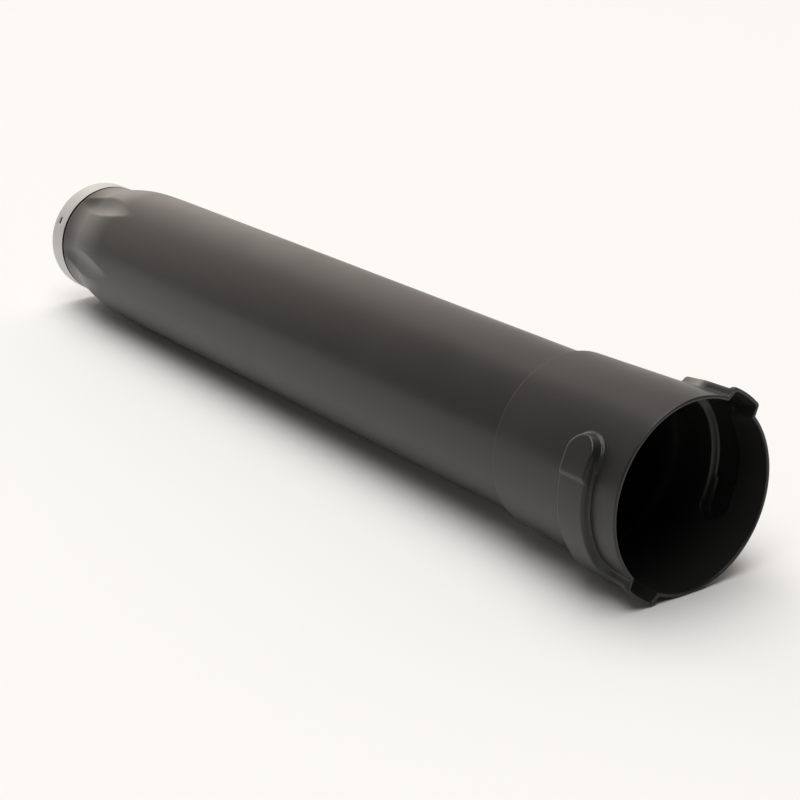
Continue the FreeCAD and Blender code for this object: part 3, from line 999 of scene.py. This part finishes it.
@dataclass(frozen=True)
class SkyGlow:
    """One soft glow of the surroundings: full towards a direction and gone beyond a given spread."""

    way: tuple[float, float, float]
    colour: tuple[float, float, float]
    strength: float
    from_cosine: float = 0.55
    to_cosine: float = 0.95

    def add(self, tree: bpy.types.NodeTree, place: bpy.types.Node, below: bpy.types.NodeSocket | None
            ) -> bpy.types.NodeSocket:
        """Adds the glow to a world's node tree.

        The glow is its colour times an eased step of the cosine between the ray and its direction.

        Args:
            tree: the world's nodes.
            place: node that gives the ray's direction.
            below: sum of the glows so far, or None for the first one.

        Returns:
            The sum with this glow.
        """
        facing = tree.nodes.new("ShaderNodeVectorMath")
        facing.operation = "DOT_PRODUCT"
        facing.inputs[1].default_value = Vector(self.way).normalized()
        grade = tree.nodes.new("ShaderNodeMapRange")
        grade.interpolation_type = "SMOOTHSTEP"
        grade.inputs["From Min"].default_value = self.from_cosine
        grade.inputs["From Max"].default_value = self.to_cosine
        grade.inputs["To Max"].default_value = self.strength
        tint = tree.nodes.new("ShaderNodeVectorMath")
        tint.operation = "SCALE"
        tint.inputs[0].default_value = self.colour
        tree.links.new(place.outputs["Generated"], facing.inputs[0])
        tree.links.new(facing.outputs["Value"], grade.inputs["Value"])
        tree.links.new(grade.outputs["Result"], tint.inputs["Scale"])
        if below is None:
            return tint.outputs["Vector"]
        total = tree.nodes.new("ShaderNodeVectorMath")
        total.operation = "ADD"
        tree.links.new(below, total.inputs[0])
        tree.links.new(tint.outputs["Vector"], total.inputs[1])
        return total.outputs["Vector"]


@dataclass
class Studio:
    """Floor, a soft lamp overhead, dim warm glows low around the tube and the camera."""

    floor_half: float = 6.0
    camera_from_mouth: tuple[float, float, float] = (526.25, -515.81, 311.93)
    camera_turn: float = 54.08
    camera_pitch: float = 20.56
    lens: float = 96.15
    lamp_at: tuple[float, float, float] = (-0.3, -0.4, 7.0)
    lamp_size: tuple[float, float] = (10.5, 5.6)
    lamp_power: float = 575.0
    lamp_colour: tuple[float, float, float] = (1.0, 0.995, 0.98)
    glows: tuple[SkyGlow, ...] = (
        SkyGlow((-0.98, 0.05, 0.10), (1.0, 0.91, 0.82), 1.45, 0.76, 0.97),
        SkyGlow((-0.7, 0.7, 0.18), (1.0, 0.90, 0.80), 0.60),
        SkyGlow((0.0, 0.97, 0.22), (1.0, 0.93, 0.86), 0.33),
        SkyGlow((-0.8, -0.6, 0.15), (1.0, 0.94, 0.88), 0.14, 0.60, 0.95),
        SkyGlow((-0.1, -0.97, 0.22), (1.0, 0.97, 0.93), 0.15),
    )

    def build(self, lie: Lie) -> None:
        """Sets up the floor, the light and the camera.

        Args:
            lie: how the tube lies.
        """
        self.lay_floor()
        self.light_world()
        self.hang_lamp()
        self.set_camera(lie)
        bpy.context.scene.view_settings.view_transform = "Standard"

    def lay_floor(self) -> None:
        """Lays one large pale sheet at the floor's height."""
        half = self.floor_half
        corners = np.array([[-half, -half, 0.0], [half, -half, 0.0], [half, half, 0.0], [-half, half, 0.0]])
        floor = put_mesh("floor", corners, [np.array([[0, 1, 2, 3]])])
        floor.data.materials.append(PaleFloor().material())

    def light_world(self) -> None:
        """Sums the surroundings' glows."""
        world = bpy.data.worlds.new("studio")
        bpy.context.scene.world = world
        world.use_nodes = True
        place = world.node_tree.nodes.new("ShaderNodeTexCoord")
        total = None
        for glow in self.glows:
            total = glow.add(world.node_tree, place, total)
        world.node_tree.links.new(total, world.node_tree.nodes["Background"].inputs["Color"])

    def hang_lamp(self) -> None:
        """Hangs one large soft lamp over the tube."""
        lamp = bpy.data.lights.new("soft_lamp", "AREA")
        lamp.shape = "RECTANGLE"
        lamp.size, lamp.size_y = self.lamp_size
        lamp.energy = self.lamp_power
        lamp.color = self.lamp_colour
        holder = bpy.data.objects.new("soft_lamp", lamp)
        bpy.context.scene.collection.objects.link(holder)
        holder.location = self.lamp_at
        holder.rotation_euler = (-Vector(self.lamp_at)).to_track_quat("-Z", "Y").to_euler()

    def set_camera(self, lie: Lie) -> None:
        """Places the camera by its offset from the mouth, its turn and its pitch.

        Args:
            lie: how the tube lies.
        """
        data = bpy.data.cameras.new("camera")
        data.lens = self.lens
        camera = bpy.data.objects.new("camera", data)
        bpy.context.scene.collection.objects.link(camera)
        spot = (Vector(lie.mouth) + Vector(self.camera_from_mouth)) * MM
        turn = Matrix.Rotation(math.radians(self.camera_turn), 4, "Z")
        pitch = Matrix.Rotation(math.radians(QUARTER_TURN - self.camera_pitch), 4, "X")
        camera.matrix_world = Matrix.Translation(spot) @ turn @ pitch
        bpy.context.scene.camera = camera


def main() -> None:
    """Builds the tube, the ring and the studio."""
    logging.basicConfig(level=logging.INFO, format="%(message)s")
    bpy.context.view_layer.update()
    tube, ring = NozzleTube(), WearRing()
    seat = next(mount for mount in frame["record"]["mounts"] if mount["name"] == "socket_seat")
    lie = Lie.from_mount(seat, tube.socket_length - tube.ledge_back - 0.5 * tube.seat_length)
    for part, finish in ((tube, MouldedPlastic()), (ring, RolledMetal())):
        piece = part.build(lie)
        part.dress(piece, finish.material())
        log.info("%s: %d points, %d faces", piece.name, len(piece.data.vertices), len(piece.data.polygons))
    Studio().build(lie)


if __name__ == "__main__":
    main()
